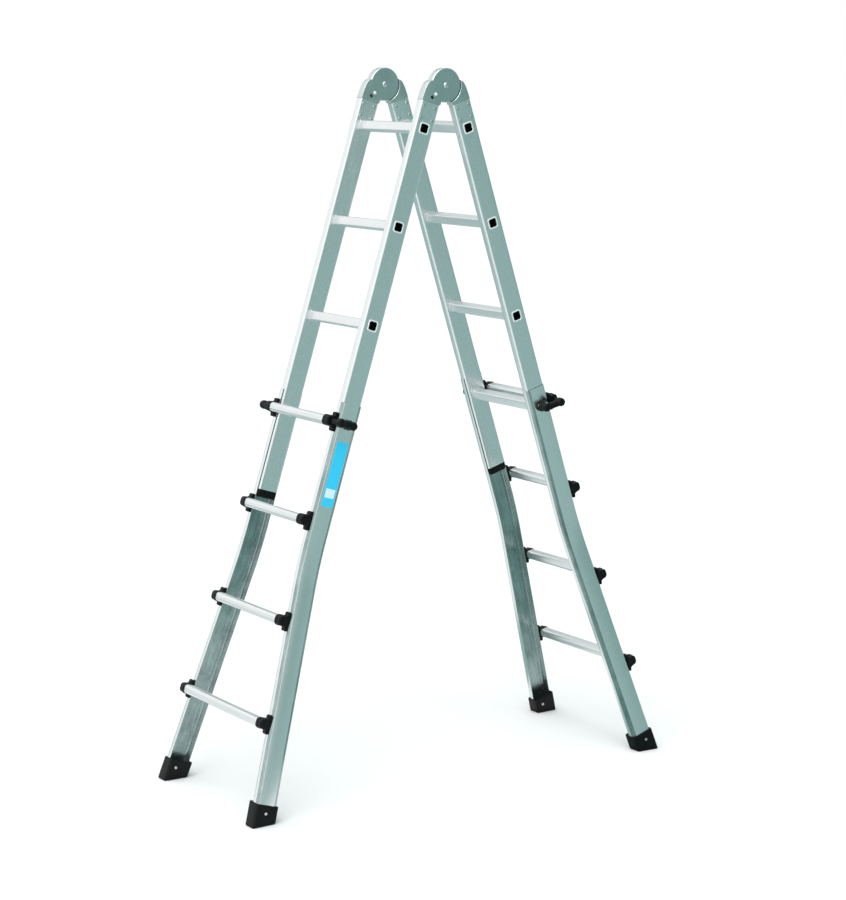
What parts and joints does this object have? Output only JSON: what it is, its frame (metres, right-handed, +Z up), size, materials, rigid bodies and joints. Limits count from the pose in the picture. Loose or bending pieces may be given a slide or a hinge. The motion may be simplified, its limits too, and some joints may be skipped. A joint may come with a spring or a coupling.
{
  "type": "multi position ladder",
  "caption": "Telescopic folding ladder standing as an A-frame, with square rungs, flared lower stiles, locking hinges and plastic feet.",
  "frame": {"origin": "on the floor, midway between the four feet, under the hinge axis", "axes": "+Z up; +Y along the rungs, from the near side to the far side; +X towards the right leg"},
  "size_m": [1.3958, 0.5636, 2.0196],
  "materials": {
    "upper_stile_aluminium": "satin extruded aluminium",
    "lower_stile_aluminium": "satin extruded aluminium",
    "upper_rung_aluminium": "satin extruded aluminium with grip ribs",
    "lower_rung_aluminium": "bright ribbed aluminium",
    "hinge_casting": "fine cast aluminium",
    "steel": "zinc plated steel",
    "black_plastic": "moulded black plastic"
  },
  "bodies": {
    "left_upper_section": {"left_upper_rung_1": "upper_rung_aluminium", "left_upper_rung_2": "upper_rung_aluminium", "left_upper_rung_3": "upper_rung_aluminium", "left_upper_rung_4": "upper_rung_aluminium", "left_near_upper_stile": "upper_stile_aluminium", "left_near_guide_cap": "black_plastic", "near_hinge_left_half": "hinge_casting", "near_hinge_pivot_bolt": "steel", "left_far_upper_stile": "upper_stile_aluminium", "left_far_guide_cap": "black_plastic", "far_hinge_left_half": "hinge_casting", "far_hinge_pivot_bolt": "steel"},
    "left_lower_section": {"left_lower_rung_1": "lower_rung_aluminium", "left_lower_rung_2": "lower_rung_aluminium", "left_lower_rung_3": "lower_rung_aluminium", "left_lower_rung_4": "lower_rung_aluminium", "left_near_lower_stile": "lower_stile_aluminium", "left_near_foot": "black_plastic", "left_near_rung_connector_1": "black_plastic", "left_near_rung_connector_2": "black_plastic", "left_near_rung_connector_3": "black_plastic", "left_near_rung_connector_4": "black_plastic", "left_far_lower_stile": "lower_stile_aluminium", "left_far_foot": "black_plastic", "left_far_rung_connector_1": "black_plastic", "left_far_rung_connector_2": "black_plastic", "left_far_rung_connector_3": "black_plastic", "left_far_rung_connector_4": "black_plastic"},
    "right_upper_section": {"right_upper_rung_1": "upper_rung_aluminium", "right_upper_rung_2": "upper_rung_aluminium", "right_upper_rung_3": "upper_rung_aluminium", "right_upper_rung_4": "upper_rung_aluminium", "right_near_upper_stile": "upper_stile_aluminium", "right_near_guide_cap": "black_plastic", "near_hinge_right_half": "hinge_casting", "right_far_upper_stile": "upper_stile_aluminium", "right_far_guide_cap": "black_plastic", "far_hinge_right_half": "hinge_casting"},
    "right_lower_section": {"right_lower_rung_1": "lower_rung_aluminium", "right_lower_rung_2": "lower_rung_aluminium", "right_lower_rung_3": "lower_rung_aluminium", "right_lower_rung_4": "lower_rung_aluminium", "right_near_lower_stile": "lower_stile_aluminium", "right_near_foot": "black_plastic", "right_near_rung_connector_1": "black_plastic", "right_near_rung_connector_2": "black_plastic", "right_near_rung_connector_3": "black_plastic", "right_near_rung_connector_4": "black_plastic", "right_far_lower_stile": "lower_stile_aluminium", "right_far_foot": "black_plastic", "right_far_rung_connector_1": "black_plastic", "right_far_rung_connector_2": "black_plastic", "right_far_rung_connector_3": "black_plastic", "right_far_rung_connector_4": "black_plastic"},
    "left_near_lock": {"left_near_lock_handle": "black_plastic"},
    "left_far_lock": {"left_far_lock_handle": "black_plastic"},
    "right_near_lock": {"right_near_lock_handle": "black_plastic"},
    "right_far_lock": {"right_far_lock_handle": "black_plastic"},
    "near_latch": {"near_hinge_latch": "steel"},
    "far_latch": {"far_hinge_latch": "steel"}
  },
  "joints": [
    {"name": "hinge_fold", "type": "hinge", "parent": "left_upper_section", "child": "right_upper_section", "pos_m": [0, 0, 1.97278], "axis": [0, 1, 0], "range_deg": [-144.9, 34.8]},
    {"name": "left_telescope", "type": "slide", "parent": "left_upper_section", "child": "left_lower_section", "axis": [0.3015, 0, 0.9535], "range_m": [0, 0.84]},
    {"name": "left_near_lock_slide", "type": "slide", "parent": "left_lower_section", "child": "left_near_lock", "axis": [0, 1, 0], "range_m": [-0.012, 0.005]},
    {"name": "left_far_lock_slide", "type": "slide", "parent": "left_lower_section", "child": "left_far_lock", "axis": [0, -1, 0], "range_m": [-0.012, 0.005]},
    {"name": "right_telescope", "type": "slide", "parent": "right_upper_section", "child": "right_lower_section", "axis": [-0.3015, 0, 0.9535], "range_m": [0, 0.84]},
    {"name": "right_near_lock_slide", "type": "slide", "parent": "right_lower_section", "child": "right_near_lock", "axis": [0, 1, 0], "range_m": [-0.012, 0.005]},
    {"name": "right_far_lock_slide", "type": "slide", "parent": "right_lower_section", "child": "right_far_lock", "axis": [0, -1, 0], "range_m": [-0.012, 0.005]},
    {"name": "near_latch_slide", "type": "slide", "parent": "left_upper_section", "child": "near_latch", "axis": [0.8197, 0, 0.5729], "range_m": [0, 0.0065]},
    {"name": "far_latch_slide", "type": "slide", "parent": "left_upper_section", "child": "far_latch", "axis": [0.8197, 0, 0.5729], "range_m": [0, 0.0065]}
  ]
}
